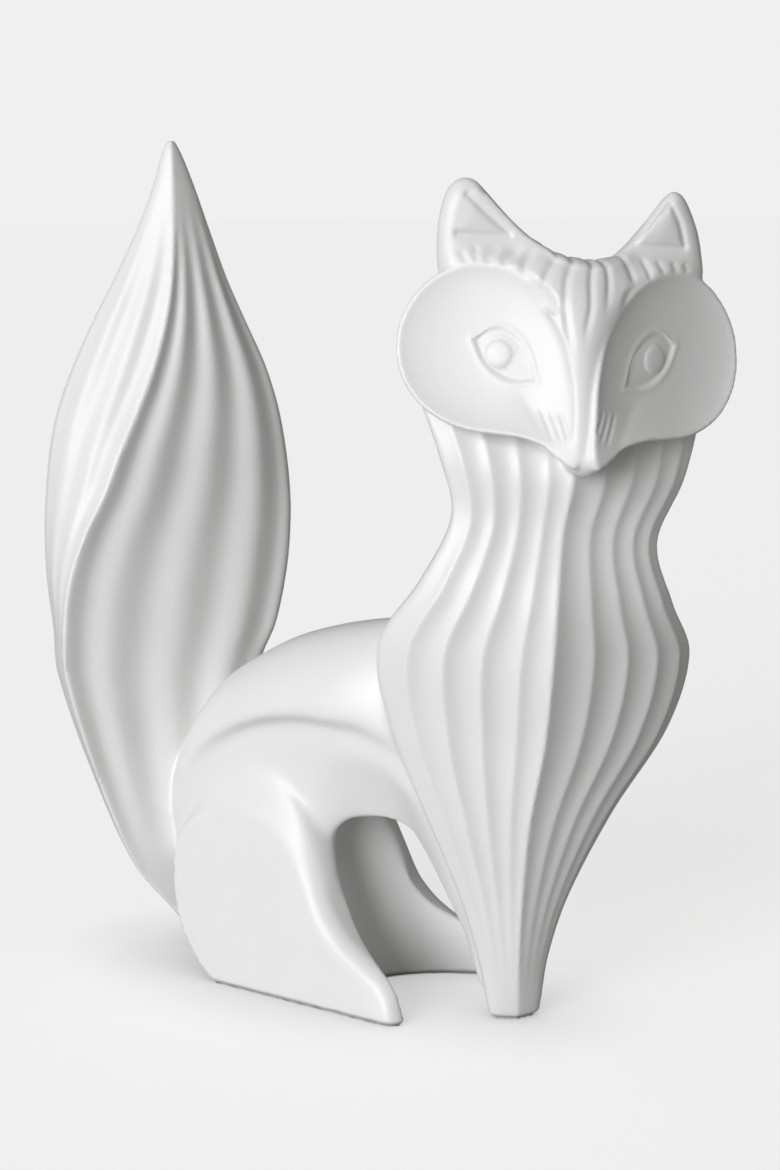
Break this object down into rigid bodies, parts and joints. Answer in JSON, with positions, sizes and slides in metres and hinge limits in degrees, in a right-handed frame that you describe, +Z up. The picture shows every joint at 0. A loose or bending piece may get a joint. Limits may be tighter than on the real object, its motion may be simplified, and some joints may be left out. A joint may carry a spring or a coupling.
{
  "type": "ceramic fox figurine",
  "caption": "Seated stylised fox in white glazed ceramic, with a fluted keeled chest, dished face and tall leaf-shaped tail.",
  "frame": {"origin": "on the surface that the figurine stands on, below the middle of its bounding box", "axes": "the face looks along -Y, +X is to the fox's left, +Z is up"},
  "size_m": [0.21, 0.155, 0.28],
  "materials": {
    "glazed_ceramic": null
  },
  "bodies": {
    "root": {"fox_figurine": "glazed_ceramic"}
  },
  "joints": []
}
